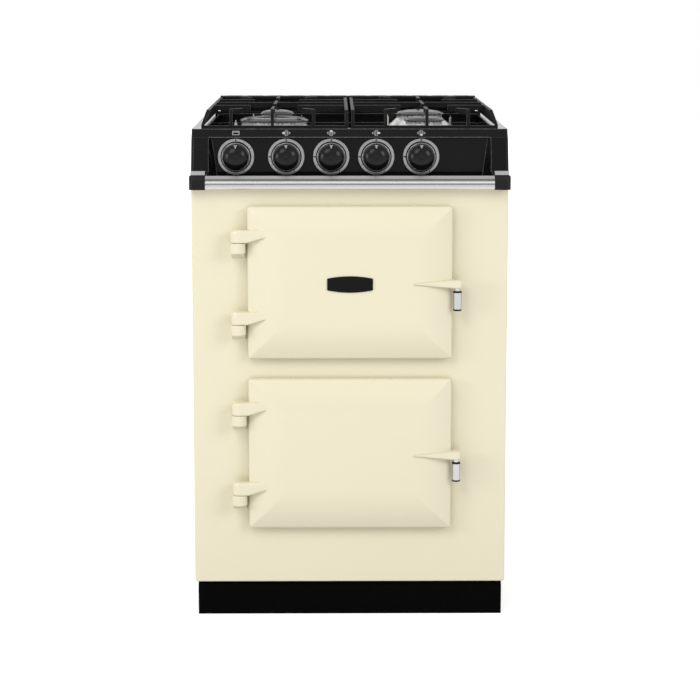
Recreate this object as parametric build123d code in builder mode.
"""Free-standing dual fuel range cooker: two electric ovens with cast doors under a four-burner gas hob.

X runs left to right, Y from the front of the cooker to its back, Z up from the floor. The origin is on the
floor, in the middle of the cooker's footprint. Sizes are in millimetres.
"""
import math
import os

from build123d import *

# Overall form
BODY_W = 598
BODY_DEPTH = 600
HALF = BODY_W / 2
SHEET = 2
INNER = HALF - SHEET
TOUCH = 0.05

# Hinges, which reach furthest forward and so settle where the front plate stands
PIN_OUT = 27
PIN_R = 5
LUG_R = 14.5
FACE_Y = (PIN_OUT + LUG_R - BODY_DEPTH) / 2

# Heights, stacked from the floor: plinth, lower door, upper door, rail, fascia, pan supports
DOOR_W = 386
DOOR_H = 290
PLINTH_H = 64
DOOR_BELOW = 112
DOOR_GAP = 39
DOOR_ABOVE = 32
RAIL_H = 25
RAIL_BODY_H = 17
FASCIA_H = 84
SUPPORT_H = 36
LOWER_Z = PLINTH_H + DOOR_BELOW + DOOR_H / 2
UPPER_Z = LOWER_Z + DOOR_H + DOOR_GAP
DOOR_Z = {"upper": UPPER_Z, "lower": LOWER_Z}
RAIL_Z = UPPER_Z + DOOR_H / 2 + DOOR_ABOVE
RAIL_TOP = RAIL_Z + RAIL_H
FLOOR_TOP = RAIL_Z + RAIL_BODY_H
HOB_Z = RAIL_TOP + FASCIA_H
SUPPORT_TOP = HOB_Z + SUPPORT_H

# Plinth, feet and casing
PLINTH_W = BODY_W - 12
PLINTH_LEDGE = 8.7
PLINTH_D = BODY_DEPTH - 60
PLINTH_FLANGE = 20
FOOT_R = 18
FOOT_H = 8
FOOT_STUD_R = 5
FOOT_X = PLINTH_W / 2 - 48
FOOT_D = (60, PLINTH_D - 40)
FOOT_NUT_R = 9
FOOT_NUT_T = 8
STUD_UP = 20
PLATE_DEPTH = 18
PLATE_SKIN = 3
PLATE_CORNER_R = 5
PLATE_EDGE_R = 3
BACK_D = BODY_DEPTH - 40
FLOOR_T = 3
RAIL_FLANGE = 4
PLATE_TOP = FLOOR_TOP - RAIL_FLANGE
RETURN_W = 14
BASE_FLANGE = 20
TIE_HOLE_R = 2.5
TIE_PITCH = 60
TIE_Z = PLATE_TOP - 70
VENT_UP = 50
VENT_L = 56
VENT_W = 6
VENT_PITCH_X = 70
VENT_PITCH_Z = 16

# Doors
DOOR_BACK = 5
DOOR_RIM = 20
DOOR_CROWN = 38
CROWN_RUN = 70
DOOR_EDGE_R = 6
POCKET_MARGIN = 30
POCKET_DEPTH = 18
CORE_MARGIN = 78
CORE_DEPTH = 25
PAD_GAP = 2
PIN_X = -DOOR_W / 2 - 17.5
HINGE_OFF = DOOR_H / 2 - 67.5
HINGE_GAP = 0.8
KNUCKLE_R = 13.5
ARM_H = 24
ARM_TIP_X = 43 - DOOR_W / 2
ARM_SINK = 5
ARM_EDGE_R = 5
LUG_H = 20
LUG_DROP = 12
LUG_EDGE_R = 2
PIN_UP = 16
PIN_DOWN = 12
GRIP_X = DOOR_W / 2 + 9
GRIP_OUT = 29
GRIP_R = 8
GRIP_L = 37
GRIP_TOP = 14
HANDLE_TIP_X = DOOR_W / 2 - 73
HANDLE_H = 15
HANDLE_FRONT = DOOR_CROWN + 2
HANDLE_BACK = GRIP_OUT - 7.5
HANDLE_EDGE_R = 3
STUB_R = 4
STUB_L = 8
BADGE_W = 86
BADGE_H = 31
BADGE_END_H = 22
BADGE_CORNER_R = 2
BADGE_T = 2.5
BADGE_EDGE_R = 1
SEAL_MARGIN = 7
SEAL_W = 9
SEAL_GAP = 0.4
PLUG_CLEAR = 5
PLUG_IN = 9

# Ovens
MOUTH_LAP_X = 23
MOUTH_LAP_Z = 25
CAVITY_W = DOOR_W - 2 * MOUTH_LAP_X
CAVITY_H = DOOR_H - 2 * MOUTH_LAP_Z
CAVITY_D = BACK_D - 160
COLLAR = CAVITY_W + 2 * PLATE_SKIN
LINER_T = 1.5
LINER_FLANGE = 14
LINER_FRONT = PLATE_DEPTH
LINER_BACK = LINER_FRONT + CAVITY_D
INSULATION = 28
JACKET_W = CAVITY_W / 2 + LINER_T + INSULATION
JACKET_H = CAVITY_H / 2 + LINER_T + INSULATION
BAR_DROP = 14
BAR_HALF = 15
BAR_D = (LINER_FRONT + 102, LINER_BACK - 58)
SHELF_DROP = 40
ROD_R = 3
GRID_R = 1.8
GRID_WIRES = range(1, 12)
RUNNER_D = (LINER_FRONT + 52, LINER_BACK - 68)
RUNG_D = (LINER_FRONT + 12, LINER_BACK - 23)
RUNG_X = CAVITY_W / 2 - 3 * ROD_R + 0.5
RUNGS = (-SHELF_DROP - 45, -SHELF_DROP, 60 - SHELF_DROP)
RUNNER_OVER = 12
SHELF_D = (LINER_FRONT + 27, LINER_BACK - 38)
SHELF_X = RUNG_X - 2
SHELF_LIFT = 5.9
ELEMENT_R = 3.25
ELEMENT_X = 110
ELEMENT_D = (LINER_FRONT + 62, LINER_BACK - 68)
ELEMENT_BEND = 22
ELEMENT_GAP = 16
ELEMENT_UP = CAVITY_H / 2 - ELEMENT_GAP
ELEMENT_TAIL = LINER_BACK + LINER_T + INSULATION + 25
ELEMENT_PLATE = (12, 3, 8)
ELEMENT_ENDS = [(side * ELEMENT_X, up) for side in (-1, 1) for up in (-1, 1)]
BULB_R = 2.5
BULB_UP = 60
BULB_L = 90

# Rail and fascia
RAIL_OUT = 25
RAIL_SHOULDER = 13
RAIL_SHOULDER_Z = RAIL_TOP - 7.4
RAIL_EDGE = 2
RAIL_WALL = 4
GROOVES = (RAIL_Z + 10, RAIL_Z + 15)
GROOVE_W = 2
GROOVE_DEEP = 1.2
CAP_L = 30
CAP_PROUD = 1
CAP_SIDE = 2
CAP_CORNER = 6
RAIL_NOSE_X = HALF + CAP_SIDE - CAP_L
HOB_EDGE = 42
FACE_TOP_D = 25
FACE_TOP_Z = HOB_Z - 15
LIP_D = 2
LIP_Z = RAIL_TOP + 7
LIP_OUT = 12
FASCIA_CORNER_R = 5
PANEL_D = 33
PANEL_TOP_X = HALF - 38
PANEL_LOW_X = HALF - 48
MOUTH_TOP_X = HALF - 16
MOUTH_TOP_D = -3
MOUTH_LOW_X = HALF - 22
MOUTH_LOW_D = -35

# Knobs, in order from the left: oven, then the four burners
KNOB_NAMES = ("oven", "front_left", "rear_left", "rear_right", "front_right")
OVEN_KNOB_X = 84 - HALF
TAP_KNOB_X = OVEN_KNOB_X + 95
KNOB_PITCH = 85
KNOB_X = [OVEN_KNOB_X] + [TAP_KNOB_X + KNOB_PITCH * place for place in range(4)]
KNOB_Z = RAIL_TOP + 32
BEZEL_R = 35
BEZEL_BORE = 28
BEZEL_T = 3
KNOB_R = 27
DOME_R = 25.25
KNOB_STANDOFF = 4
KNOB_OUT = 30
KNOB_BACK = PANEL_D - KNOB_STANDOFF
KNOB_FRONT = PANEL_D - KNOB_OUT
POINTER_W = 3.6
SPINDLE_R = 3
SPINDLE_IN_KNOB = 18
SPINDLE_FRONT = KNOB_BACK - SPINDLE_IN_KNOB
TAP_FRONT = 41
TAP_L = 36
TAP_W = 26
TAP_BORE_L = 18
TAP_BACK = TAP_FRONT + TAP_L
CONTROL_R = 22
PUSH = 3

# Hob
BASIN_X = HALF - 27
TRIM_D = BODY_DEPTH - 38
TRIM_INSET = 27
TRIM_TOP = 5
TRIM_EDGE_R = 4
TRIM_SLOT_L = 34
TRIM_SLOT_W = 6
TRIM_PITCH_X = 44
TRIM_PITCH_D = 12
BASIN_D = (HOB_EDGE + 32, TRIM_D - 28)
BASIN_DEPTH = 19
BASIN_R = 28
BASIN_Z = HOB_Z - BASIN_DEPTH
BURNER_X = BASIN_X - 125
FRONT_ROW = BASIN_D[0] + 127
REAR_ROW = BASIN_D[1] - 113
MID_D = (FRONT_ROW + REAR_ROW) / 2
BURNERS = {
    "front_left": (-BURNER_X, FRONT_ROW),
    "rear_left": (-BURNER_X, REAR_ROW),
    "rear_right": (BURNER_X, REAR_ROW),
    "front_right": (BURNER_X, FRONT_ROW),
}
CAP_RADIUS = {"front_left": 68, "rear_left": 36, "rear_right": 51, "front_right": 40}
FLARE = {"front_left": 8, "rear_left": 11, "rear_right": 13, "front_right": 10}
CROWN_TOP = BASIN_Z + 24
CAP_T = 10.5
WOK_RING_T = 8
WOK_DROP = 4
PORT_PITCH = 9
PORT_W = 1.8
PORT_H = 4
TRAY_HOLE_R = 24
SPIGOT_R = 22
SPIGOT_Z = BASIN_Z - 12
CUP_R = 27
CUP_FLANGE_R = 34
CUP_FLANGE_T = 3
CUP_H = 42
CUP_BORE = 20
CUP_TOP = BASIN_Z - SHEET
POST_R = 3
POST_DOWN = 18
POST_TURN = math.radians(20)

# Gas and electric supply
MANIFOLD_R = 8
MANIFOLD_WALL = 1.5
MANIFOLD_BEND = 20
MANIFOLD_D = 58
MANIFOLD_Z = KNOB_Z - TAP_W / 2 - MANIFOLD_R - 0.1
PIPE_R = 3
PIPE_BEND = 14
INLET_X = HALF - 49
INLET_D = (BACK_D + BODY_DEPTH) / 2
INLET_R = 10.48
INLET_L = 14
INLET_Z = FLOOR_TOP - 59
INLET_HEX_R = 14
INLET_HEX_H = 13
INLET_STOP = 3.9
TERMINAL_X = INLET_X - 110
TERMINAL_Z = PLINTH_H + 86
TERMINAL_W = 100
TERMINAL_H = 70
TERMINAL_DEPTH = 32
TERMINAL_WALL = 3
TERMINAL_CORNER_R = 5
TERMINAL_FEED_R = 11
CABLE_R = 7
GLAND_WALL = 4
GLAND_L = 15
SPARK_X = 99 - HALF
SPARK_W = 70
SPARK_D = (BACK_D - 60, BACK_D - 15)
SPARK_H = 28
SPARK_CORNER_R = 4

# Pan supports
SUPPORT_X = (3, HALF - 17)
SUPPORT_D = (HOB_EDGE + 20, TRIM_D - 16)
BAR_W = 6
BAR_H = 10
END_BAR_H = 5
RAIL_LEAN = 10
RAIL_FOOT = 6
RAIL_DROP = 2
OPEN_R = 46.5
POST_PITCH = 78.5
POST_X = [BURNER_X + step * POST_PITCH for step in (-1, 0, 1)]
SIDE_FINGER = 40

os.makedirs("parts", exist_ok=True)


def slab(x0, x1, d0, d1, z0, z1, mode=Mode.ADD):
    """A box between two distances across, back from the front plate and up."""
    with Locations(((x0 + x1) / 2, FACE_Y + (d0 + d1) / 2, (z0 + z1) / 2)):
        Box(abs(x1 - x0), abs(d1 - d0), abs(z1 - z0), mode=mode)


def folded(points, x0, x1, mode=Mode.ADD):
    """An outline seen from the side, given as distance back and height, run across from x0 to x1."""
    with BuildSketch(Plane.YZ.offset(x0)) as outline:
        with BuildLine():
            Polyline(*[(FACE_Y + d, z) for d, z in points], close=True)
        make_face()
    extrude(outline.sketch, amount=x1 - x0, mode=mode)


def turned(points, x, d, mode=Mode.ADD):
    """An outline of radius and height, turned about an upright axis."""
    upright = Plane(origin=(x, FACE_Y + d, 0), x_dir=(1, 0, 0), z_dir=(0, -1, 0))
    with BuildSketch(upright) as outline:
        with BuildLine():
            Polyline(*points, close=True)
        make_face()
    revolve(outline.sketch, axis=Axis((x, FACE_Y + d, 0), (0, 0, 1)), mode=mode)


def upright_rod(x, d, z0, z1, radius, mode=Mode.ADD):
    with Locations((x, FACE_Y + d, (z0 + z1) / 2)):
        Cylinder(radius, z1 - z0, mode=mode)


def deep_rod(x, d0, d1, z, radius, mode=Mode.ADD):
    """A round rod or bore that runs from front to back."""
    with Locations(Location((x, FACE_Y + (d0 + d1) / 2, z), (90, 0, 0))):
        Cylinder(radius, d1 - d0, mode=mode)


def cross_rod(x0, x1, d, z, radius, mode=Mode.ADD):
    with Locations(Location(((x0 + x1) / 2, FACE_Y + d, z), (0, 90, 0))):
        Cylinder(radius, x1 - x0, mode=mode)


def tube_run(points, radius, bend, bore=0):
    """A bent tube through points given across, back and up."""
    with BuildLine() as run:
        FilletPolyline(*[(x, FACE_Y + d, z) for x, d, z in points], radius=bend)
    path = run.wires()[0]
    start = Plane(origin=path @ 0, z_dir=path % 0)
    with BuildSketch(start) as ring:
        Circle(radius)
    sweep(ring.sketch, path=path)
    if bore:
        with BuildSketch(start) as hollow:
            Circle(bore)
        sweep(hollow.sketch, path=path, mode=Mode.SUBTRACT)


def keep(builder, label):
    builder.part.label = label
    export_step(builder.part, "parts/" + label + ".step")


# Plinth: folded black boards that hide the feet
fold_in = SHEET * (math.sqrt(2) - 1)
plinth_edge = PLINTH_H - PLINTH_LEDGE
with BuildPart() as plinth_front:
    folded(
        [
            (0, 0),
            (0, plinth_edge),
            (PLINTH_LEDGE, PLINTH_H),
            (PLINTH_FLANGE + PLINTH_LEDGE, PLINTH_H),
            (PLINTH_FLANGE + PLINTH_LEDGE, PLINTH_H - SHEET),
            (PLINTH_LEDGE + fold_in, PLINTH_H - SHEET),
            (SHEET, plinth_edge - fold_in),
            (SHEET, 0),
        ],
        SHEET - PLINTH_W / 2,
        PLINTH_W / 2 - SHEET,
    )
keep(plinth_front, "plinth_front")

with BuildPart() as plinth_sides:
    for side in (-1, 1):
        folded(
            [(0, 0), (0, plinth_edge), (PLINTH_LEDGE, PLINTH_H), (PLINTH_D, PLINTH_H), (PLINTH_D, 0)],
            side * PLINTH_W / 2 - (SHEET if side > 0 else 0),
            side * PLINTH_W / 2 + (0 if side > 0 else SHEET),
        )
        slab(
            side * (PLINTH_W / 2 - SHEET),
            side * (PLINTH_W / 2 - PLINTH_FLANGE),
            PLINTH_FLANGE + PLINTH_LEDGE,
            PLINTH_D,
            PLINTH_H - SHEET,
            PLINTH_H,
        )
keep(plinth_sides, "plinth_sides")

# Levelling feet: a pad and stud with a nut below and above the base pan
with BuildPart() as levelling_feet:
    for foot_x in (-FOOT_X, FOOT_X):
        for foot_d in FOOT_D:
            upright_rod(foot_x, foot_d, 0, FOOT_H, FOOT_R)
            upright_rod(foot_x, foot_d, FOOT_H, PLINTH_H + SHEET + STUD_UP, FOOT_STUD_R)
            for nut_z in (PLINTH_H - FOOT_NUT_T, PLINTH_H + SHEET):
                with BuildSketch(Plane.XY.offset(nut_z)) as nut:
                    with Locations((foot_x, FACE_Y + foot_d)):
                        RegularPolygon(FOOT_NUT_R, 6)
                        Circle(FOOT_STUD_R + TOUCH, mode=Mode.SUBTRACT)
                extrude(nut.sketch, amount=FOOT_NUT_T)
keep(levelling_feet, "levelling_feet")

# Base pan: the folded floor of the casing
with BuildPart() as base_pan:
    slab(-INNER, INNER, PLATE_DEPTH, BACK_D - SHEET, PLINTH_H, PLINTH_H + BASE_FLANGE)
    slab(
        SHEET - INNER,
        INNER - SHEET,
        PLATE_DEPTH + SHEET,
        BACK_D - 2 * SHEET,
        PLINTH_H + SHEET,
        PLINTH_H + BASE_FLANGE,
        mode=Mode.SUBTRACT,
    )
    for foot_x in (-FOOT_X, FOOT_X):
        for foot_d in FOOT_D:
            upright_rod(foot_x, foot_d, PLINTH_H, PLINTH_H + SHEET, FOOT_STUD_R + 1, mode=Mode.SUBTRACT)
keep(base_pan, "base_pan")


# Side panels: flat enamelled sheets with a return along the back edge
def side_panel(side):
    with BuildPart() as panel:
        slab(side * INNER, side * HALF, PLATE_DEPTH, BODY_DEPTH - SHEET, PLINTH_H, FLOOR_TOP - FLOOR_T)
        slab(
            side * INNER,
            side * (INNER - RETURN_W),
            BODY_DEPTH - 2 * SHEET,
            BODY_DEPTH - SHEET,
            PLINTH_H,
            FLOOR_TOP - FLOOR_T,
        )
    return panel


left_side_panel = side_panel(-1)
keep(left_side_panel, "left_side_panel")
right_side_panel = side_panel(1)
keep(right_side_panel, "right_side_panel")

# Back panel: plain sheet set in from the rear, with vent slots and the two tie holes for a stability bracket
with BuildPart() as back_panel:
    slab(-INNER, INNER, BACK_D - SHEET, BACK_D, PLINTH_H, FLOOR_TOP - FLOOR_T)
    for side in (-1, 1):
        slab(
            side * INNER,
            side * (INNER - SHEET),
            BACK_D - RETURN_W,
            BACK_D - SHEET,
            PLINTH_H + BASE_FLANGE,
            FLOOR_TOP - FLOOR_T,
        )
    with BuildSketch(Plane.XZ.offset(-FACE_Y - BACK_D)):
        with Locations(*[(0, door_z + VENT_UP) for door_z in DOOR_Z.values()]):
            with GridLocations(VENT_PITCH_X, VENT_PITCH_Z, 6, 3):
                SlotOverall(VENT_L, VENT_W)
        with Locations((0, TIE_Z)):
            with GridLocations(TIE_PITCH, 0, 2, 1):
                Circle(TIE_HOLE_R)
        with Locations((TERMINAL_X, TERMINAL_Z)):
            Circle(TERMINAL_FEED_R)
    extrude(amount=SHEET, mode=Mode.SUBTRACT)
keep(back_panel, "back_panel")

# Front plate: one enamelled pressing with a collar turned in round each oven mouth
with BuildPart() as front_plate:
    slab(-HALF, HALF, 0, PLATE_DEPTH, PLINTH_H, PLATE_TOP)
    fillet(front_plate.edges().filter_by(Axis.Y).group_by(Axis.Z)[0], radius=PLATE_CORNER_R)
    fillet(front_plate.faces().sort_by(Axis.Y)[0].edges(), radius=PLATE_EDGE_R)
    slab(
        PLATE_SKIN - HALF,
        HALF - PLATE_SKIN,
        PLATE_SKIN,
        PLATE_DEPTH,
        PLINTH_H + 2 * PLATE_SKIN,
        PLATE_TOP - PLATE_SKIN,
        mode=Mode.SUBTRACT,
    )
    for door_z in DOOR_Z.values():
        collar_h = CAVITY_H / 2 + PLATE_SKIN
        slab(-COLLAR / 2, COLLAR / 2, PLATE_SKIN, PLATE_DEPTH, door_z - collar_h, door_z + collar_h)
        slab(
            -CAVITY_W / 2,
            CAVITY_W / 2,
            0,
            PLATE_DEPTH,
            door_z - CAVITY_H / 2,
            door_z + CAVITY_H / 2,
            mode=Mode.SUBTRACT,
        )
keep(front_plate, "front_plate")


# Hinge lugs: rounded bosses on the front plate, each with a sloping web under it
def hinge_lug(top):
    with BuildPart() as lug:
        upright_rod(PIN_X, -PIN_OUT, top - LUG_H, top, LUG_R)
        fillet(lug.edges().filter_by(GeomType.CIRCLE), radius=LUG_EDGE_R)
        folded(
            [
                (0, top - LUG_EDGE_R),
                (-PIN_OUT, top - LUG_EDGE_R),
                (-PIN_OUT, top - LUG_H + LUG_EDGE_R),
                (0, top - LUG_H - LUG_DROP),
            ],
            PIN_X - LUG_R + LUG_EDGE_R,
            PIN_X + LUG_R - LUG_EDGE_R,
        )
        upright_rod(PIN_X, -PIN_OUT, top - PIN_DOWN, top, PIN_R + TOUCH, mode=Mode.SUBTRACT)
    return lug.part


with BuildPart() as hinge_lugs:
    for door_z in DOOR_Z.values():
        for off in (-HINGE_OFF, HINGE_OFF):
            add(hinge_lug(door_z + off - HINGE_GAP / 2))
keep(hinge_lugs, "hinge_lugs")

# Hinge pins: upright steel pins that stand in the lugs, over which the doors lift on and off
with BuildPart() as hinge_pins:
    for door_z in DOOR_Z.values():
        for off in (-HINGE_OFF, HINGE_OFF):
            upright_rod(
                PIN_X,
                -PIN_OUT,
                door_z + off - HINGE_GAP / 2 - PIN_DOWN,
                door_z + off + HINGE_GAP / 2 + PIN_UP - TOUCH,
                PIN_R,
            )
keep(hinge_pins, "hinge_pins")


# Doors: each a pillow-faced casting with two hinge arms on the left and a handle arm on the right
def hinge_arm(arm_z):
    """The arm tapers from its knuckle to where it runs into the face of the door."""
    with BuildPart() as arm:
        with BuildSketch(Plane.XY.offset(arm_z)):
            with Locations((PIN_X, FACE_Y - PIN_OUT)):
                Circle(KNUCKLE_R)
            with BuildLine():
                Polyline(
                    (PIN_X, FACE_Y - PIN_OUT - KNUCKLE_R),
                    (ARM_TIP_X, FACE_Y - DOOR_CROWN + ARM_SINK),
                    (ARM_TIP_X, FACE_Y - DOOR_RIM + ARM_SINK),
                    (PIN_X, FACE_Y - PIN_OUT + KNUCKLE_R),
                    close=True,
                )
            make_face()
        extrude(amount=ARM_H)
        with BuildSketch(Plane.XZ.offset(-FACE_Y)):
            with BuildLine():
                Polyline(
                    (PIN_X - KNUCKLE_R, arm_z),
                    (-DOOR_W / 2, arm_z),
                    (ARM_TIP_X, arm_z + ARM_H / 2),
                    (ARM_TIP_X, arm_z + ARM_H - 1),
                    (PIN_X - KNUCKLE_R, arm_z + ARM_H),
                    close=True,
                )
            make_face()
        extrude(amount=PIN_OUT + LUG_R, mode=Mode.INTERSECT)
        fillet(arm.faces().sort_by(Axis.Z)[-1].edges(), radius=ARM_EDGE_R)
    return arm.part


def handle_arm(arm_z):
    """A straight arm that swells from a point on the door face to the end that carries the grip."""
    end_x = GRIP_X + GRIP_R
    with BuildPart() as arm:
        with BuildSketch(Plane.XZ.offset(-FACE_Y + HANDLE_BACK)):
            with BuildLine():
                Polyline(
                    (HANDLE_TIP_X, arm_z + 1),
                    (DOOR_W / 2, arm_z + HANDLE_H / 2),
                    (end_x, arm_z + HANDLE_H / 2),
                    (end_x, arm_z - HANDLE_H / 2),
                    (DOOR_W / 2, arm_z - HANDLE_H / 2),
                    (HANDLE_TIP_X, arm_z - 1),
                    close=True,
                )
            make_face()
        extrude(amount=HANDLE_FRONT - HANDLE_BACK)
        fillet(arm.faces().sort_by(Axis.X)[-1].edges(), radius=HANDLE_EDGE_R)
    return arm.part


def door_casting(door_z):
    across = DOOR_W / 2
    height = DOOR_H / 2
    crown = FACE_Y - DOOR_CROWN
    rim = FACE_Y - DOOR_RIM
    back = FACE_Y - DOOR_BACK
    with BuildPart() as casting:
        with BuildSketch(Plane.XY.offset(door_z - height)):
            with BuildLine():
                flat = Line((CROWN_RUN - across, crown), (across - CROWN_RUN, crown))
                TangentArc(flat @ 1, (across, rim), tangent=(1, 0))
                Polyline((across, rim), (across, back), (-across, back), (-across, rim))
                TangentArc(flat @ 0, (-across, rim), tangent=(-1, 0))
            make_face()
        extrude(amount=DOOR_H)
        with BuildSketch(Plane.YZ.offset(-across)):
            with BuildLine():
                flat = Line((crown, door_z + CROWN_RUN - height), (crown, door_z + height - CROWN_RUN))
                TangentArc(flat @ 1, (rim, door_z + height), tangent=(0, 1))
                Polyline(
                    (rim, door_z + height),
                    (back, door_z + height),
                    (back, door_z - height),
                    (rim, door_z - height),
                )
                TangentArc(flat @ 0, (rim, door_z - height), tangent=(0, -1))
            make_face()
        extrude(amount=DOOR_W, mode=Mode.INTERSECT)
        corners = casting.edges().filter_by(Axis.Y)
        rims = casting.edges().filter_by_position(Axis.Y, rim - TOUCH, rim + TOUCH)
        fillet(corners + rims, radius=DOOR_EDGE_R)
        for off in (-HINGE_OFF, HINGE_OFF):
            add(hinge_arm(door_z + off + HINGE_GAP / 2))
        add(handle_arm(door_z))
        for off in (-HINGE_OFF, HINGE_OFF):
            bore_z = door_z + off + HINGE_GAP / 2
            upright_rod(PIN_X, -PIN_OUT, bore_z, bore_z + PIN_UP, PIN_R + TOUCH, mode=Mode.SUBTRACT)
        stub_z = door_z - HANDLE_H / 2
        upright_rod(GRIP_X, -GRIP_OUT, stub_z, stub_z + STUB_L, STUB_R + TOUCH, mode=Mode.SUBTRACT)
        for margin, depth in ((POCKET_MARGIN, POCKET_DEPTH), (CORE_MARGIN, CORE_DEPTH)):
            slab(
                margin - across,
                across - margin,
                -DOOR_BACK - depth,
                -DOOR_BACK,
                door_z + margin - height,
                door_z + height - margin,
                mode=Mode.SUBTRACT,
            )
    return casting


def door_liner(door_z):
    """A pressed steel dish that closes the back of the door and plugs the oven mouth."""
    flange = SEAL_MARGIN + SEAL_W + 1
    plug_x = CAVITY_W / 2 - PLUG_CLEAR
    plug_h = CAVITY_H / 2 - PLUG_CLEAR
    with BuildPart() as liner:
        slab(
            flange - DOOR_W / 2,
            DOOR_W / 2 - flange,
            -DOOR_BACK,
            LINER_T - DOOR_BACK,
            door_z + flange - DOOR_H / 2,
            door_z + DOOR_H / 2 - flange,
        )
        slab(-plug_x, plug_x, -DOOR_BACK, PLUG_IN, door_z - plug_h, door_z + plug_h)
        slab(
            LINER_T - plug_x,
            plug_x - LINER_T,
            -DOOR_BACK,
            PLUG_IN - LINER_T,
            door_z + LINER_T - plug_h,
            door_z + plug_h - LINER_T,
            mode=Mode.SUBTRACT,
        )
    return liner


def door_insulation(door_z):
    """A stepped pad that fills the hollow of the casting and the dish behind it."""
    with BuildPart() as pad:
        for margin, depth in ((POCKET_MARGIN, POCKET_DEPTH), (CORE_MARGIN, CORE_DEPTH)):
            half_w = DOOR_W / 2 - margin - PAD_GAP
            half_h = DOOR_H / 2 - margin - PAD_GAP
            front = PAD_GAP - DOOR_BACK - depth
            slab(-half_w, half_w, front, PLUG_IN - LINER_T, door_z - half_h, door_z + half_h)
    return pad


def door_seal(door_z):
    with BuildPart() as seal:
        with BuildSketch(Plane.XZ.offset(-FACE_Y + SEAL_GAP)):
            with Locations((0, door_z)):
                RectangleRounded(DOOR_W - 2 * SEAL_MARGIN, DOOR_H - 2 * SEAL_MARGIN, 12)
                RectangleRounded(
                    DOOR_W - 2 * (SEAL_MARGIN + SEAL_W),
                    DOOR_H - 2 * (SEAL_MARGIN + SEAL_W),
                    2,
                    mode=Mode.SUBTRACT,
                )
        extrude(amount=DOOR_BACK - SEAL_GAP)
    return seal


def handle_grip(door_z):
    """A plain chrome barrel on a neck, hung under the end of the handle arm."""
    arm_under = door_z - HANDLE_H / 2
    top = door_z - GRIP_TOP
    with BuildPart() as grip:
        turned(
            [
                (0, top - GRIP_L),
                (GRIP_R - 2, top - GRIP_L),
                (GRIP_R - 1.5, top - GRIP_L + 2),
                (GRIP_R, top - GRIP_L + 3),
                (GRIP_R, top - 3),
                (GRIP_R - 1.5, top - 2),
                (GRIP_R - 2, top),
                (STUB_R + 1.5, top),
                (STUB_R + 1.5, arm_under),
                (STUB_R, arm_under),
                (STUB_R, arm_under + STUB_L - TOUCH),
                (0, arm_under + STUB_L - TOUCH),
            ],
            GRIP_X,
            -GRIP_OUT,
        )
    return grip


for level, level_z in DOOR_Z.items():
    keep(door_casting(level_z), level + "_door")
    keep(door_liner(level_z), level + "_door_liner")
    keep(door_insulation(level_z), level + "_door_insulation")
    keep(door_seal(level_z), level + "_door_seal")
    keep(handle_grip(level_z), level + "_handle_grip")

# Badge plate: a plain barrel-shaped plate on the flat of the upper door
with BuildPart() as badge_plate:
    with BuildSketch(Plane.XZ.offset(-FACE_Y + DOOR_CROWN)) as badge_face:
        with BuildLine():
            for half_w, half_h in ((BADGE_W / 2, BADGE_H / 2), (-BADGE_W / 2, -BADGE_H / 2)):
                end_h = math.copysign(BADGE_END_H / 2, half_h)
                middle = DOOR_Z["upper"]
                Line((-half_w, middle - end_h), (-half_w, middle + end_h))
                ThreePointArc((-half_w, middle + end_h), (0, middle + half_h), (half_w, middle + end_h))
        make_face()
        fillet(badge_face.vertices(), radius=BADGE_CORNER_R)
    extrude(amount=BADGE_T)
    fillet(badge_plate.faces().sort_by(Axis.Y)[0].edges(), radius=BADGE_EDGE_R)
keep(badge_plate, "badge_plate")

# Ovens: an enamelled box each, flanged to the back of the front plate
def oven_holes(oven_z, d0, d1):
    """Where the element ends and the thermostat bulb pass out through the back of the oven."""
    for end_x, up in ELEMENT_ENDS:
        deep_rod(end_x, d0, d1, oven_z + up * ELEMENT_UP, ELEMENT_R + 0.5, mode=Mode.SUBTRACT)
    deep_rod(0, d0, d1, oven_z + BULB_UP, BULB_R + 0.5, mode=Mode.SUBTRACT)


def oven_liner(oven_z):
    half_w = CAVITY_W / 2
    half_h = CAVITY_H / 2
    grow = LINER_T + LINER_FLANGE
    with BuildPart() as liner:
        slab(
            -half_w - grow,
            half_w + grow,
            LINER_FRONT,
            LINER_FRONT + LINER_T,
            oven_z - half_h - grow,
            oven_z + half_h + grow,
        )
        slab(
            -half_w - LINER_T,
            half_w + LINER_T,
            LINER_FRONT,
            LINER_BACK + LINER_T,
            oven_z - half_h - LINER_T,
            oven_z + half_h + LINER_T,
        )
        slab(-half_w, half_w, LINER_FRONT, LINER_BACK, oven_z - half_h, oven_z + half_h, mode=Mode.SUBTRACT)
        oven_holes(oven_z, LINER_BACK, LINER_BACK + LINER_T)
    return liner


for level, level_z in DOOR_Z.items():
    keep(oven_liner(level_z), level + "_oven_liner")

# Oven insulation: a fibre jacket round each liner
with BuildPart() as oven_insulation:
    for level_z in DOOR_Z.values():
        slab(
            -JACKET_W,
            JACKET_W,
            LINER_FRONT + LINER_T,
            LINER_BACK + LINER_T + INSULATION,
            level_z - JACKET_H,
            level_z + JACKET_H,
        )
        slab(
            INSULATION - JACKET_W,
            JACKET_W - INSULATION,
            LINER_FRONT + LINER_T,
            LINER_BACK + LINER_T,
            level_z + INSULATION - JACKET_H,
            level_z + JACKET_H - INSULATION,
            mode=Mode.SUBTRACT,
        )
        oven_holes(level_z, LINER_BACK, LINER_BACK + LINER_T + INSULATION)
keep(oven_insulation, "oven_insulation")

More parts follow.
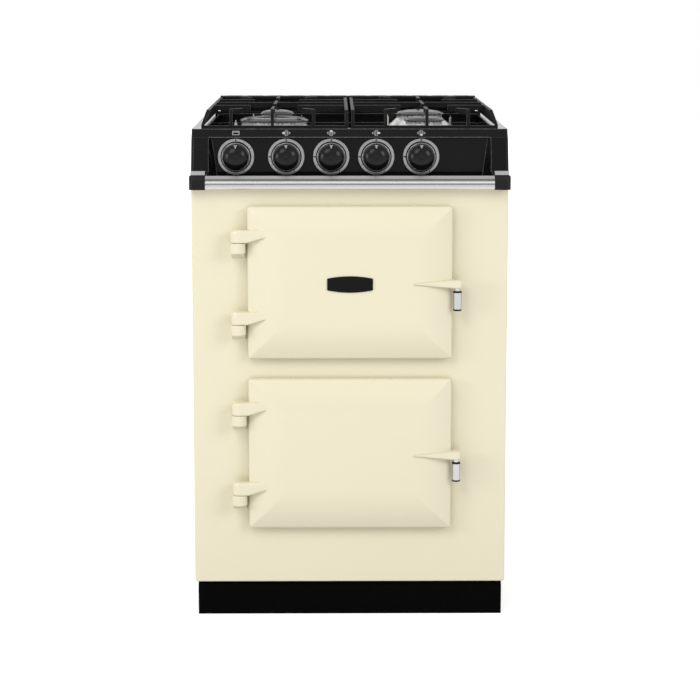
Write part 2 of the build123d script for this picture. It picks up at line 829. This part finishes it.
# Cross bars: channels between the side panels that carry the insulated ovens
with BuildPart() as oven_crossbars:
    for level_z in DOOR_Z.values():
        under = level_z - JACKET_H
        for bar_d in BAR_D:
            folded(
                [
                    (bar_d - BAR_HALF, under),
                    (bar_d - BAR_HALF, under - BAR_DROP),
                    (bar_d - BAR_HALF + SHEET, under - BAR_DROP),
                    (bar_d - BAR_HALF + SHEET, under - SHEET),
                    (bar_d + BAR_HALF - SHEET, under - SHEET),
                    (bar_d + BAR_HALF - SHEET, under - BAR_DROP),
                    (bar_d + BAR_HALF, under - BAR_DROP),
                    (bar_d + BAR_HALF, under),
                ],
                -INNER,
                INNER,
            )
keep(oven_crossbars, "oven_crossbars")

# Shelf runners: wire ladders against the oven walls
with BuildPart() as shelf_runners:
    for level_z in DOOR_Z.values():
        for side in (-1, 1):
            for post_d in RUNNER_D:
                upright_rod(
                    side * (CAVITY_W / 2 - ROD_R),
                    post_d,
                    level_z + RUNGS[0] - RUNNER_OVER,
                    level_z + RUNGS[-1] + RUNNER_OVER,
                    ROD_R,
                )
            for rung in RUNGS:
                deep_rod(side * RUNG_X, *RUNG_D, level_z + rung, ROD_R)
keep(shelf_runners, "shelf_runners")

# Oven shelves: chrome wire grids that rest on the middle rungs
with BuildPart() as oven_shelves:
    for level_z in DOOR_Z.values():
        grid_z = level_z - SHELF_DROP + SHELF_LIFT
        for side in (-1, 1):
            deep_rod(side * SHELF_X, SHELF_D[0] - ROD_R, SHELF_D[1] + ROD_R, grid_z, ROD_R)
        for end_d in SHELF_D:
            cross_rod(-SHELF_X - 1, SHELF_X + 1, end_d, grid_z, ROD_R)
        for wire in GRID_WIRES:
            wire_x = SHELF_X * (2 * wire / GRID_WIRES.stop - 1)
            deep_rod(wire_x, SHELF_D[0] - 1, SHELF_D[1] + 1, grid_z + 0.7, GRID_R)
keep(oven_shelves, "oven_shelves")

# Heating elements: bent sheathed rods at the roof and floor of each oven
with BuildPart() as oven_elements:
    for level_z in DOOR_Z.values():
        for up in (-1, 1):
            run_z = level_z + up * ELEMENT_UP
            tube_run(
                [
                    (-ELEMENT_X, ELEMENT_TAIL, run_z),
                    (-ELEMENT_X, ELEMENT_D[0], run_z),
                    (-ELEMENT_X / 3, ELEMENT_D[0], run_z),
                    (-ELEMENT_X / 3, ELEMENT_D[1], run_z),
                    (ELEMENT_X / 3, ELEMENT_D[1], run_z),
                    (ELEMENT_X / 3, ELEMENT_D[0], run_z),
                    (ELEMENT_X, ELEMENT_D[0], run_z),
                    (ELEMENT_X, ELEMENT_TAIL, run_z),
                ],
                ELEMENT_R,
                ELEMENT_BEND,
            )
            plate_x, plate_t, plate_z = ELEMENT_PLATE
            for end_x in (-ELEMENT_X, ELEMENT_X):
                slab(
                    end_x - plate_x,
                    end_x + plate_x,
                    LINER_BACK - plate_t,
                    LINER_BACK,
                    run_z - plate_z,
                    run_z + plate_z,
                )
keep(oven_elements, "oven_elements")

# Burner box floor: the sheet that closes the casing under the hob
with BuildPart() as burner_box_floor:
    slab(-HALF, HALF, PLATE_DEPTH, BODY_DEPTH, FLOOR_TOP - FLOOR_T, FLOOR_TOP)
    upright_rod(INLET_X, INLET_D, FLOOR_TOP - FLOOR_T, FLOOR_TOP, MANIFOLD_R + 3, mode=Mode.SUBTRACT)
keep(burner_box_floor, "burner_box_floor")

# Front rail: a brushed steel section along the top of the front plate, with two fine grooves in its face
rail_nose = [
    (-RAIL_SHOULDER, RAIL_Z),
    (RAIL_EDGE - RAIL_OUT, RAIL_Z),
    (-RAIL_OUT, RAIL_Z + RAIL_EDGE),
]
for groove_z in GROOVES:
    rail_nose.append((-RAIL_OUT, groove_z - GROOVE_W / 2))
    rail_nose.append((GROOVE_DEEP - RAIL_OUT, groove_z - GROOVE_W / 5))
    rail_nose.append((GROOVE_DEEP - RAIL_OUT, groove_z + GROOVE_W / 5))
    rail_nose.append((-RAIL_OUT, groove_z + GROOVE_W / 2))
rail_nose.append((-RAIL_OUT, RAIL_SHOULDER_Z))
rail_nose.append((-RAIL_SHOULDER, RAIL_TOP))
with BuildPart() as front_rail:
    folded(
        [
            (0, RAIL_Z),
            (-RAIL_SHOULDER, RAIL_Z),
            (-RAIL_SHOULDER, FLOOR_TOP),
            (PLATE_DEPTH, FLOOR_TOP),
            (PLATE_DEPTH, PLATE_TOP),
            (0, PLATE_TOP),
        ],
        -HALF,
        HALF,
    )
    folded(rail_nose, -RAIL_NOSE_X, RAIL_NOSE_X)
    slab(
        -HALF,
        HALF,
        GROOVE_DEEP + RAIL_WALL - RAIL_OUT,
        -RAIL_WALL,
        RAIL_Z + RAIL_WALL,
        PLATE_TOP,
        mode=Mode.SUBTRACT,
    )
keep(front_rail, "front_rail")


# Rail end caps: black mouldings that finish the two ends of the rail
def end_cap(side):
    inner_x = side * RAIL_NOSE_X
    outer_x = side * (HALF + CAP_SIDE)
    with BuildPart() as cap:
        folded(
            [
                (-RAIL_SHOULDER, RAIL_Z - CAP_PROUD),
                (RAIL_EDGE - RAIL_OUT - CAP_PROUD, RAIL_Z - CAP_PROUD),
                (-RAIL_OUT - CAP_PROUD, RAIL_Z + RAIL_EDGE - CAP_PROUD),
                (-RAIL_OUT - CAP_PROUD, RAIL_SHOULDER_Z),
                (-RAIL_SHOULDER, RAIL_TOP),
            ],
            min(inner_x, outer_x),
            max(inner_x, outer_x),
        )
        front_edges = cap.edges().filter_by(Axis.Z).sort_by(Axis.Y)[:2]
        outer_edge = front_edges.sort_by(Axis.X)[-1 if side > 0 else 0]
        chamfer(outer_edge, length=CAP_CORNER)
        slab(side * HALF, outer_x, -RAIL_SHOULDER, 0, RAIL_Z - CAP_PROUD, FLOOR_TOP)
    return cap.part


with BuildPart() as rail_end_caps:
    for side in (-1, 1):
        add(end_cap(side))
keep(rail_end_caps, "rail_end_caps")


# Control fascia: a black enamelled pressing with a knob panel sunk between two cheeks that lean out
def recess(grow):
    """The sunk space in front of the knob panel; grown by the sheet, it is the back of that pressing."""
    floor_z = FLOOR_TOP + SHEET - grow
    top_z = FACE_TOP_Z + grow
    back = (
        (PANEL_TOP_X + grow, PANEL_D + grow, top_z),
        (PANEL_LOW_X + grow, PANEL_D + grow, floor_z),
    )
    front = (
        (MOUTH_TOP_X + grow, MOUTH_TOP_D + grow, top_z),
        (MOUTH_LOW_X + grow, MOUTH_LOW_D + grow, floor_z),
    )
    rings = []
    for top, low in (back, front):
        ring = [
            Vector(-top[0], FACE_Y + top[1], top[2]),
            Vector(top[0], FACE_Y + top[1], top[2]),
            Vector(low[0], FACE_Y + low[1], low[2]),
            Vector(-low[0], FACE_Y + low[1], low[2]),
        ]
        rings.append(Face(Wire.make_polygon(ring, close=True)))
    with BuildPart() as space:
        loft(rings, ruled=True)
    return space.part


with BuildPart() as fascia_void:
    folded(
        [
            (HOB_EDGE + 10, HOB_Z - SHEET),
            (HOB_EDGE + 1, HOB_Z - SHEET),
            (FACE_TOP_D + SHEET, FACE_TOP_Z - 1),
            (LIP_D + SHEET, LIP_Z - 1),
            (SHEET - LIP_OUT, RAIL_TOP),
            (SHEET - LIP_OUT, FLOOR_TOP + SHEET),
            (HOB_EDGE + 10, FLOOR_TOP + SHEET),
        ],
        -INNER,
        INNER,
    )
    add(recess(SHEET), mode=Mode.SUBTRACT)

with BuildPart() as control_fascia:
    folded(
        [
            (HOB_EDGE, HOB_Z),
            (FACE_TOP_D, FACE_TOP_Z),
            (LIP_D, LIP_Z),
            (-LIP_OUT, RAIL_TOP + 1),
            (-LIP_OUT, FLOOR_TOP),
            (HOB_EDGE, FLOOR_TOP),
        ],
        -HALF,
        HALF,
    )
    end_edges = control_fascia.faces().filter_by(Axis.X).edges()
    above_lip = end_edges.filter_by(lambda edge: edge.center().Z > LIP_Z)
    corner_edges = above_lip.filter_by(lambda edge: edge.center().Y < FACE_Y + HOB_EDGE - 1)
    fillet(corner_edges, radius=FASCIA_CORNER_R)
    add(recess(0), mode=Mode.SUBTRACT)
    add(fascia_void.part, mode=Mode.SUBTRACT)
    for knob_x in KNOB_X:
        deep_rod(knob_x, PANEL_D, PANEL_D + SHEET, KNOB_Z, SPINDLE_R + 2, mode=Mode.SUBTRACT)
keep(control_fascia, "control_fascia")


# Dial bezels: flat chrome rings round the knobs
def bezel(knob_x):
    with BuildPart() as ring:
        deep_rod(knob_x, PANEL_D - BEZEL_T, PANEL_D, KNOB_Z, BEZEL_R)
        deep_rod(knob_x, PANEL_D - BEZEL_T, PANEL_D, KNOB_Z, BEZEL_BORE, mode=Mode.SUBTRACT)
        chamfer(ring.faces().sort_by(Axis.Y)[0].edges(), length=1)
    return ring.part


with BuildPart() as dial_bezels:
    for knob_x in KNOB_X:
        add(bezel(knob_x))
keep(dial_bezels, "dial_bezels")


# Knobs: domed, with a rim at the back and a raised pointer at the top
def knob(knob_x):
    flat_on = Plane(origin=(knob_x, FACE_Y, KNOB_Z), x_dir=(1, 0, 0), z_dir=(0, 0, 1))
    with BuildPart() as turn:
        with BuildSketch(flat_on) as outline:
            with BuildLine():
                Polyline(
                    (0, KNOB_FRONT),
                    (0, KNOB_BACK),
                    (KNOB_R, KNOB_BACK),
                    (KNOB_R, KNOB_BACK - 5),
                    (DOME_R, KNOB_BACK - 7),
                    (DOME_R - 1.5, KNOB_FRONT + 8),
                )
                ThreePointArc((DOME_R - 1.5, KNOB_FRONT + 8), (DOME_R - 9, KNOB_FRONT + 2.2), (0, KNOB_FRONT))
            make_face()
        revolve(axis=Axis((knob_x, FACE_Y, KNOB_Z), (0, 1, 0)))
        slab(
            knob_x - POINTER_W / 2,
            knob_x + POINTER_W / 2,
            KNOB_FRONT + 2.5,
            KNOB_BACK - 4,
            KNOB_Z + DOME_R - 8,
            KNOB_Z + DOME_R + 0.8,
        )
        deep_rod(knob_x, SPINDLE_FRONT - TOUCH, KNOB_BACK, KNOB_Z, SPINDLE_R + TOUCH, mode=Mode.SUBTRACT)
    return turn


def spindle(knob_x):
    """A steel shaft from inside the knob to inside its tap or switch."""
    with BuildPart() as shaft:
        deep_rod(knob_x, SPINDLE_FRONT, TAP_FRONT + TAP_BORE_L - PUSH - 2, KNOB_Z, SPINDLE_R)
    return shaft


for knob_name, knob_x in zip(KNOB_NAMES, KNOB_X):
    keep(knob(knob_x), knob_name + "_knob")
    keep(spindle(knob_x), knob_name + "_spindle")

# Oven control: the thermostat switch behind the first knob, and its two bulbs in the ovens
with BuildPart() as oven_control:
    deep_rod(KNOB_X[0], PANEL_D + SHEET, TAP_FRONT + TAP_L, KNOB_Z, CONTROL_R)
    deep_rod(
        KNOB_X[0], PANEL_D + SHEET, TAP_FRONT + TAP_BORE_L, KNOB_Z, SPINDLE_R + TOUCH, mode=Mode.SUBTRACT
    )
    for level_z in DOOR_Z.values():
        deep_rod(0, LINER_BACK - BULB_L, ELEMENT_TAIL, level_z + BULB_UP, BULB_R)
        deep_rod(0, LINER_BACK - 3, LINER_BACK, level_z + BULB_UP, 3 * BULB_R)
keep(oven_control, "oven_control")

# Gas manifold: one bent tube from the inlet at the back to the four taps
with BuildPart() as gas_manifold:
    tube_run(
        [
            (KNOB_X[1] - 30, MANIFOLD_D, MANIFOLD_Z),
            (INLET_X, MANIFOLD_D, MANIFOLD_Z),
            (INLET_X, INLET_D, MANIFOLD_Z),
            (INLET_X, INLET_D, INLET_Z + INLET_L + INLET_STOP + 0.1),
        ],
        MANIFOLD_R,
        MANIFOLD_BEND,
        bore=MANIFOLD_R - MANIFOLD_WALL,
    )
keep(gas_manifold, "gas_manifold")

# Gas inlet: a hexagon nipple with a half-inch thread, pointing down behind the casing
inlet_top = INLET_Z + INLET_L
with BuildPart() as gas_inlet:
    with BuildSketch(Plane.XY.offset(inlet_top)):
        with Locations((INLET_X, FACE_Y + INLET_D)):
            RegularPolygon(INLET_HEX_R, 6)
    extrude(amount=INLET_HEX_H)
    upright_rod(INLET_X, INLET_D, INLET_Z, inlet_top, INLET_R)
    upright_rod(
        INLET_X, INLET_D, INLET_Z, inlet_top + INLET_STOP, MANIFOLD_R - MANIFOLD_WALL, mode=Mode.SUBTRACT
    )
    upright_rod(
        INLET_X,
        INLET_D,
        inlet_top + INLET_STOP,
        inlet_top + INLET_HEX_H,
        MANIFOLD_R + TOUCH,
        mode=Mode.SUBTRACT,
    )
keep(gas_inlet, "gas_inlet")

# Gas taps: brass bodies that stand on the manifold, one behind each burner knob
with BuildPart() as gas_taps:
    for knob_x in KNOB_X[1:]:
        slab(
            knob_x - TAP_W / 2,
            knob_x + TAP_W / 2,
            TAP_FRONT,
            TAP_FRONT + TAP_L,
            KNOB_Z - TAP_W / 2,
            KNOB_Z + TAP_W / 2,
        )
        deep_rod(knob_x, TAP_FRONT, TAP_FRONT + TAP_BORE_L, KNOB_Z, SPINDLE_R + TOUCH, mode=Mode.SUBTRACT)
keep(gas_taps, "gas_taps")

# Burner feed pipes: from each tap to its burner cup
with BuildPart() as burner_feed_pipes:
    for knob_name, knob_x in zip(KNOB_NAMES[1:], KNOB_X[1:]):
        burner_x, burner_d = BURNERS[knob_name]
        if burner_d == FRONT_ROW:
            route = [
                (knob_x, TAP_BACK, KNOB_Z),
                (knob_x, TAP_BACK + 24, KNOB_Z),
                (burner_x, TAP_BACK + 60, KNOB_Z),
                (burner_x, burner_d - CUP_R, KNOB_Z),
            ]
        else:
            inward = math.copysign(CUP_R, burner_x)
            route = [
                (knob_x, TAP_BACK, KNOB_Z),
                (knob_x, burner_d - 36, KNOB_Z),
                (burner_x - inward * 2.4, burner_d, KNOB_Z),
                (burner_x - inward, burner_d, KNOB_Z),
            ]
        tube_run(route, PIPE_R, PIPE_BEND)
keep(burner_feed_pipes, "burner_feed_pipes")

# Burner cups: castings fixed under the tray that hold the jets
with BuildPart() as burner_cups:
    for burner_x, burner_d in BURNERS.values():
        upright_rod(burner_x, burner_d, CUP_TOP - CUP_FLANGE_T, CUP_TOP, CUP_FLANGE_R)
        with BuildSketch(Plane.XY.offset(CUP_TOP - CUP_H)) as cup_foot:
            with Locations((burner_x, FACE_Y + burner_d)):
                Rectangle(2 * CUP_R, 2 * CUP_R)
        extrude(cup_foot.sketch, amount=CUP_H)
        upright_rod(burner_x, burner_d, CUP_TOP - CUP_BORE, CUP_TOP, SPIGOT_R + 1, mode=Mode.SUBTRACT)
keep(burner_cups, "burner_cups")


# Hob tray: an enamelled pressing with a sunk basin and deep sides
def post_place(name, side):
    """Where the spark electrode (side -1) or flame sensor (side 1) of a burner stands."""
    burner_x, burner_d = BURNERS[name]
    reach = CAP_RADIUS[name] + FLARE[name] + POST_R + 3
    return burner_x + side * reach * math.cos(POST_TURN), burner_d + reach * math.sin(POST_TURN)


with BuildPart() as hob_tray:
    with BuildSketch(Plane.XY.offset(BASIN_Z - SHEET)) as basin_block:
        with Locations((0, FACE_Y + sum(BASIN_D) / 2)):
            RectangleRounded(2 * (BASIN_X + SHEET), BASIN_D[1] - BASIN_D[0] + 2 * SHEET, BASIN_R + SHEET)
    extrude(basin_block.sketch, amount=BASIN_DEPTH + SHEET)
    slab(-HALF, HALF, HOB_EDGE, BODY_DEPTH, HOB_Z - SHEET, HOB_Z)
    for side in (-1, 1):
        slab(side * INNER, side * HALF, HOB_EDGE, BODY_DEPTH, FLOOR_TOP, HOB_Z - SHEET)
    slab(-INNER, INNER, BODY_DEPTH - SHEET, BODY_DEPTH, FLOOR_TOP, HOB_Z - SHEET)
    with BuildSketch(Plane.XY.offset(BASIN_Z)) as basin_space:
        with Locations((0, FACE_Y + sum(BASIN_D) / 2)):
            RectangleRounded(2 * BASIN_X, BASIN_D[1] - BASIN_D[0], BASIN_R)
    extrude(basin_space.sketch, amount=BASIN_DEPTH, mode=Mode.SUBTRACT)
    for burner_x, burner_d in BURNERS.values():
        upright_rod(burner_x, burner_d, CUP_TOP, BASIN_Z, TRAY_HOLE_R, mode=Mode.SUBTRACT)
    for burner_name in BURNERS:
        for side in (-1, 1):
            upright_rod(*post_place(burner_name, side), CUP_TOP, BASIN_Z, POST_R + 0.4, mode=Mode.SUBTRACT)
keep(hob_tray, "hob_tray")

# Rear vent trim: the upstand at the back of the hob, slotted along its top
with BuildPart() as rear_vent_trim:
    slab(TRIM_INSET - HALF, HALF - TRIM_INSET, TRIM_D, BODY_DEPTH, HOB_Z, SUPPORT_TOP)
    fillet(rear_vent_trim.edges().filter_by(Axis.X).group_by(Axis.Z)[-1], radius=TRIM_EDGE_R)
    slab(
        TRIM_INSET + SHEET - HALF,
        HALF - TRIM_INSET - SHEET,
        TRIM_D + SHEET,
        BODY_DEPTH - SHEET,
        HOB_Z,
        SUPPORT_TOP - TRIM_TOP,
        mode=Mode.SUBTRACT,
    )
    with BuildSketch(Plane.XY.offset(SUPPORT_TOP)):
        with Locations((0, FACE_Y + (TRIM_D + BODY_DEPTH) / 2)):
            with GridLocations(TRIM_PITCH_X, TRIM_PITCH_D, 12, 2):
                SlotOverall(TRIM_SLOT_L, TRIM_SLOT_W)
    extrude(amount=-TRIM_TOP, mode=Mode.SUBTRACT)
keep(rear_vent_trim, "rear_vent_trim")

# Burner crowns: bright flared castings that stand in the basin, slotted for the flames
with BuildPart() as burner_crowns:
    for burner_name, (burner_x, burner_d) in BURNERS.items():
        cap_r = CAP_RADIUS[burner_name]
        flare_r = cap_r + FLARE[burner_name]
        port_r = cap_r - 4.5
        outline = [
            (SPIGOT_R - 4, SPIGOT_Z),
            (SPIGOT_R, SPIGOT_Z),
            (SPIGOT_R, BASIN_Z),
            (flare_r, BASIN_Z),
            (flare_r, BASIN_Z + 2),
            (port_r, CROWN_TOP - 6),
            (port_r, CROWN_TOP),
            (port_r - 6, CROWN_TOP),
            (port_r - 6, CROWN_TOP - 6.5),
        ]
        if burner_name == "front_left":
            outline += [
                (SPIGOT_R + 20, CROWN_TOP - 6.5),
                (SPIGOT_R + 20, CROWN_TOP),
                (SPIGOT_R + 14, CROWN_TOP),
                (SPIGOT_R + 14, CROWN_TOP - 9),
                (SPIGOT_R + 3, CROWN_TOP - 9),
                (SPIGOT_R + 3, CROWN_TOP - WOK_DROP),
                (SPIGOT_R - 4, CROWN_TOP - WOK_DROP),
            ]
        else:
            outline += [(SPIGOT_R - 4, CROWN_TOP - 11)]
        turned(outline, burner_x, burner_d)
        with Locations((burner_x, FACE_Y + burner_d, CROWN_TOP - PORT_H / 2)):
            with PolarLocations(port_r - 2, int(2 * math.pi * port_r / PORT_PITCH)):
                Box(12, PORT_W, PORT_H, mode=Mode.SUBTRACT)
keep(burner_crowns, "burner_crowns")

# Burner caps: enamelled discs, with a ring and a small centre cap on the wok burner
with BuildPart() as burner_caps:
    for burner_name, (burner_x, burner_d) in BURNERS.items():
        cap_r = CAP_RADIUS[burner_name]
        cap_z = CROWN_TOP
        if burner_name == "front_left":
            ring_in = SPIGOT_R + 13
            turned(
                [
                    (ring_in, CROWN_TOP),
                    (cap_r - 1.5, CROWN_TOP),
                    (cap_r, CROWN_TOP + 1.5),
                    (cap_r - 2, CROWN_TOP + 3.5),
                    (cap_r - 10, CROWN_TOP + WOK_RING_T - 1),
                    (ring_in + 8, CROWN_TOP + WOK_RING_T),
                    (ring_in + 3, CROWN_TOP + WOK_RING_T - 1),
                    (ring_in, CROWN_TOP + 4),
                ],
                burner_x,
                burner_d,
            )
            cap_r = SPIGOT_R + 6
            cap_z = CROWN_TOP - WOK_DROP
        turned(
            [
                (0, cap_z),
                (cap_r - 1.5, cap_z),
                (cap_r, cap_z + 1.5),
                (cap_r - 2, cap_z + 3.5),
                (cap_r * 0.8, cap_z + CAP_T - 3.5),
                (cap_r * 0.5, cap_z + CAP_T - 1.1),
                (cap_r * 0.2, cap_z + CAP_T - 0.2),
                (0, cap_z + CAP_T),
            ],
            burner_x,
            burner_d,
        )
keep(burner_caps, "burner_caps")


# Spark electrodes and flame sensors: one of each beside every burner, collared on the tray
def burner_posts(side, top):
    with BuildPart() as posts:
        for burner_name in BURNERS:
            post_x, post_d = post_place(burner_name, side)
            turned(
                [
                    (0, BASIN_Z - POST_DOWN),
                    (POST_R, BASIN_Z - POST_DOWN),
                    (POST_R, BASIN_Z),
                    (POST_R + 2, BASIN_Z),
                    (POST_R + 2, BASIN_Z + 2),
                    (POST_R, BASIN_Z + 2),
                    (POST_R, top - 6),
                    (1, top - 5),
                    (1, top),
                    (0, top),
                ],
                post_x,
                post_d,
            )
    return posts


keep(burner_posts(-1, CROWN_TOP), "spark_electrodes")
keep(burner_posts(1, CROWN_TOP - 3), "flame_sensors")

# Spark generator: a sealed box on the burner box floor
with BuildPart() as spark_generator:
    slab(SPARK_X - SPARK_W / 2, SPARK_X + SPARK_W / 2, *SPARK_D, FLOOR_TOP, FLOOR_TOP + SPARK_H)
    fillet(spark_generator.edges().filter_by(Axis.Z), radius=SPARK_CORNER_R)
keep(spark_generator, "spark_generator")

# Mains terminal box: on the outside of the back panel, with an entry for the supply cable below
gland_d = BACK_D + TERMINAL_DEPTH / 2
gland_top = TERMINAL_Z + TERMINAL_WALL - TERMINAL_H / 2
with BuildPart() as mains_terminal_box:
    slab(
        TERMINAL_X - TERMINAL_W / 2,
        TERMINAL_X + TERMINAL_W / 2,
        BACK_D,
        BACK_D + TERMINAL_DEPTH,
        TERMINAL_Z - TERMINAL_H / 2,
        TERMINAL_Z + TERMINAL_H / 2,
    )
    fillet(mains_terminal_box.edges().filter_by(Axis.Y), radius=TERMINAL_CORNER_R)
    slab(
        TERMINAL_X - TERMINAL_W / 2 + TERMINAL_WALL,
        TERMINAL_X + TERMINAL_W / 2 - TERMINAL_WALL,
        BACK_D,
        BACK_D + TERMINAL_DEPTH - TERMINAL_WALL,
        TERMINAL_Z - TERMINAL_H / 2 + TERMINAL_WALL,
        TERMINAL_Z + TERMINAL_H / 2 - TERMINAL_WALL,
        mode=Mode.SUBTRACT,
    )
    upright_rod(TERMINAL_X, gland_d, gland_top - GLAND_L, gland_top, CABLE_R + GLAND_WALL)
    upright_rod(TERMINAL_X, gland_d, gland_top - GLAND_L, gland_top, CABLE_R, mode=Mode.SUBTRACT)
keep(mains_terminal_box, "mains_terminal_box")


# Pan supports: iron bars welded into two frames that lie on the rim of the hob, each over two burners
def support_rail(side, foot_x, top_x):
    """One long side of a frame, on a foot at each end, leaning from foot_x to top_x."""
    front, rear = SUPPORT_D
    with BuildPart() as rail:
        folded(
            [
                (front, HOB_Z),
                (front, HOB_Z + 14),
                (front + 10, SUPPORT_TOP - RAIL_DROP),
                (rear - 10, SUPPORT_TOP - RAIL_DROP),
                (rear, HOB_Z + 14),
                (rear, HOB_Z),
                (rear - BAR_W, HOB_Z),
                (rear - BAR_W, HOB_Z + RAIL_FOOT),
                (front + BAR_W, HOB_Z + RAIL_FOOT),
                (front + BAR_W, HOB_Z),
            ],
            -HALF,
            HALF,
        )
        with BuildSketch(Plane.XZ.offset(-FACE_Y - rear)):
            with BuildLine():
                Polyline(
                    (side * foot_x, HOB_Z),
                    (side * foot_x, HOB_Z + RAIL_FOOT),
                    (side * top_x, SUPPORT_TOP - RAIL_DROP),
                    (side * (top_x + BAR_W), SUPPORT_TOP - RAIL_DROP),
                    (side * (foot_x + BAR_W), HOB_Z + RAIL_FOOT),
                    (side * (foot_x + BAR_W), HOB_Z),
                    close=True,
                )
            make_face()
        extrude(amount=rear - front, mode=Mode.INTERSECT)
    return rail.part


def support_post(side, end, row, back, post_x):
    """A post on the bar across one end, which turns in towards the burner as a finger."""
    post_d = end + back * BAR_W / 2
    reach = abs(row - post_d) - OPEN_R if post_x == BURNER_X else SIDE_FINGER
    aim = math.degrees(math.atan2(row - post_d, side * (BURNER_X - post_x)))
    with BuildPart() as post:
        slab(
            side * post_x - BAR_W / 2,
            side * post_x + BAR_W / 2,
            post_d - BAR_W / 2,
            post_d + BAR_W / 2,
            HOB_Z + END_BAR_H + TOUCH,
            SUPPORT_TOP,
        )
        with Locations(Location((side * post_x, FACE_Y + post_d, SUPPORT_TOP), (0, 0, aim))):
            Box(reach, BAR_W, BAR_H, align=(Align.MIN, Align.CENTER, Align.MAX))
    return post.part


def support_bar(side, bar_d, x0, x1):
    """A bar across the top; with no x1 it runs to the inner face of the leaning rail."""
    low = SUPPORT_TOP - BAR_H
    ends = (x1, x1)
    if x1 is None:
        slope = RAIL_LEAN / (SUPPORT_H - RAIL_FOOT - RAIL_DROP)
        face_x = SUPPORT_X[1] - BAR_W - TOUCH
        ends = [face_x - slope * (z - HOB_Z - RAIL_FOOT) for z in (low, SUPPORT_TOP)]
    with BuildPart() as bar:
        with BuildSketch(Plane.XZ.offset(-FACE_Y - bar_d - BAR_W / 2)):
            with BuildLine():
                Polyline(
                    (side * x0, low),
                    (side * ends[0], low),
                    (side * ends[1], SUPPORT_TOP),
                    (side * x0, SUPPORT_TOP),
                    close=True,
                )
            make_face()
        extrude(amount=BAR_W)
    return bar.part


def pan_support(side):
    x_in, x_out = SUPPORT_X
    bar_in = x_in + BAR_W + TOUCH
    with BuildPart() as support:
        add(support_rail(side, x_in, x_in))
        add(support_rail(side, x_out - BAR_W, x_out - BAR_W - RAIL_LEAN))
        for end, row, back in zip(SUPPORT_D, (FRONT_ROW, REAR_ROW), (1, -1)):
            bar_out = x_out - BAR_W - TOUCH
            slab(side * bar_in, side * bar_out, end, end + back * BAR_W, HOB_Z, HOB_Z + END_BAR_H)
            for post_x in POST_X:
                add(support_post(side, end, row, back, post_x))
            add(support_bar(side, row, bar_in, BURNER_X - OPEN_R))
            add(support_bar(side, row, BURNER_X + OPEN_R, None))
        add(support_bar(side, MID_D, bar_in, None))
        slab(
            side * BURNER_X - BAR_W / 2,
            side * BURNER_X + BAR_W / 2,
            FRONT_ROW + OPEN_R,
            REAR_ROW - OPEN_R,
            SUPPORT_TOP - BAR_H,
            SUPPORT_TOP,
        )
    return support


keep(pan_support(-1), "left_pan_support")
keep(pan_support(1), "right_pan_support")
